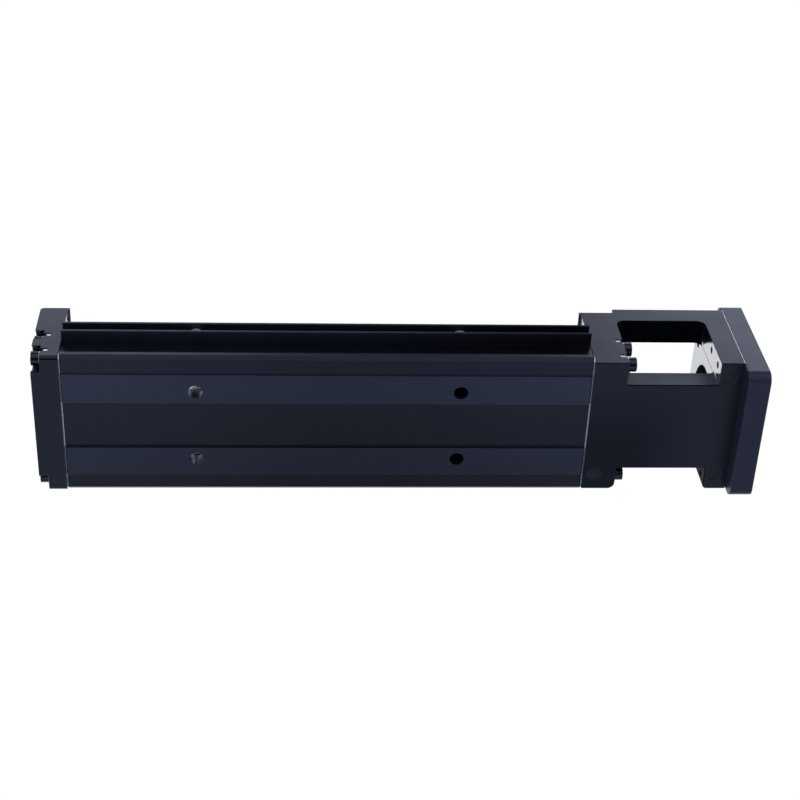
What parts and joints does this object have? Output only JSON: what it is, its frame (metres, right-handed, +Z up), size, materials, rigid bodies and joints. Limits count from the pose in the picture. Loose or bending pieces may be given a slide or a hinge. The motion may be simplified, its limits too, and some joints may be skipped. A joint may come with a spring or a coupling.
{
  "type": "ball screw linear module",
  "caption": "Ball screw linear module: a carriage on balls in a U-shaped steel rail, driven by a ball screw, with an end block, a die-cast motor housing and a motor plate.",
  "frame": {"origin": "centre of the rail's mounting face, at the middle of its four mounting holes", "axes": "+X along the rail towards the motor end, +Z up from the mounting face towards the carriage, +Y to the side away from the sensor rail"},
  "size_m": [0.2764, 0.0639, 0.056],
  "materials": {
    "black_steel": "black oxide, satin",
    "black_alloy": "black anodised, fine matt",
    "cast_alloy": "die-cast, black coated, bare where machined",
    "black_plastic": "moulded",
    "rubber": "matt",
    "cap_plastic": "moulded, off-white",
    "ground_steel": "ground",
    "brass": "turned",
    "spring_steel": "phosphated",
    "zinc_steel": "zinc plated",
    "screw_black": "black oxide",
    "bearing_steel": "polished"
  },
  "bodies": {
    "base": {"rail": "black_steel", "sensor_rail": "black_alloy", "sensor_rail_screws": "zinc_steel", "end_block": "black_alloy", "end_block_screws": "screw_black", "end_block_washers": "zinc_steel", "bearing_cap": "black_plastic", "support_bearing_outer_ring": "bearing_steel", "support_bearing_balls": "bearing_steel", "stopper_left": "rubber", "stopper_right": "rubber", "motor_housing": "cast_alloy", "housing_screws": "screw_black", "housing_washers": "zinc_steel", "fixed_bearing_outer_rings": "bearing_steel", "fixed_bearing_balls": "bearing_steel", "bearing_retainer": "black_steel", "retainer_screws": "screw_black", "motor_plate": "black_alloy", "plate_screws": "screw_black"},
    "carriage": {"carriage_block": "ground_steel", "return_cap_left": "cap_plastic", "return_cap_right": "cap_plastic", "end_seal_left": "rubber", "end_seal_right": "rubber", "cap_screws_left": "zinc_steel", "cap_screws_right": "zinc_steel", "guide_balls": "bearing_steel", "nut_balls": "bearing_steel", "grease_nipple": "brass"},
    "screw": {"ball_screw": "ground_steel", "lock_nut": "spring_steel", "lock_nut_set_screw": "zinc_steel", "fixed_bearing_inner_rings": "bearing_steel", "support_bearing_inner_ring": "bearing_steel", "retaining_ring": "spring_steel"}
  },
  "joints": [
    {"name": "carriage_slide", "type": "slide", "parent": "base", "child": "carriage", "axis": [-1, 0, 0], "range_m": [0, 0.11]},
    {"name": "screw_spin", "type": "hinge", "parent": "base", "child": "screw", "pos_m": [0, 0, 0.02], "axis": [1, 0, 0], "range_deg": [-5, 7925]}
  ],
  "couplings": [
    {"joint": "screw_spin", "follows": "carriage_slide", "rad_per_m": 1256.6}
  ]
}
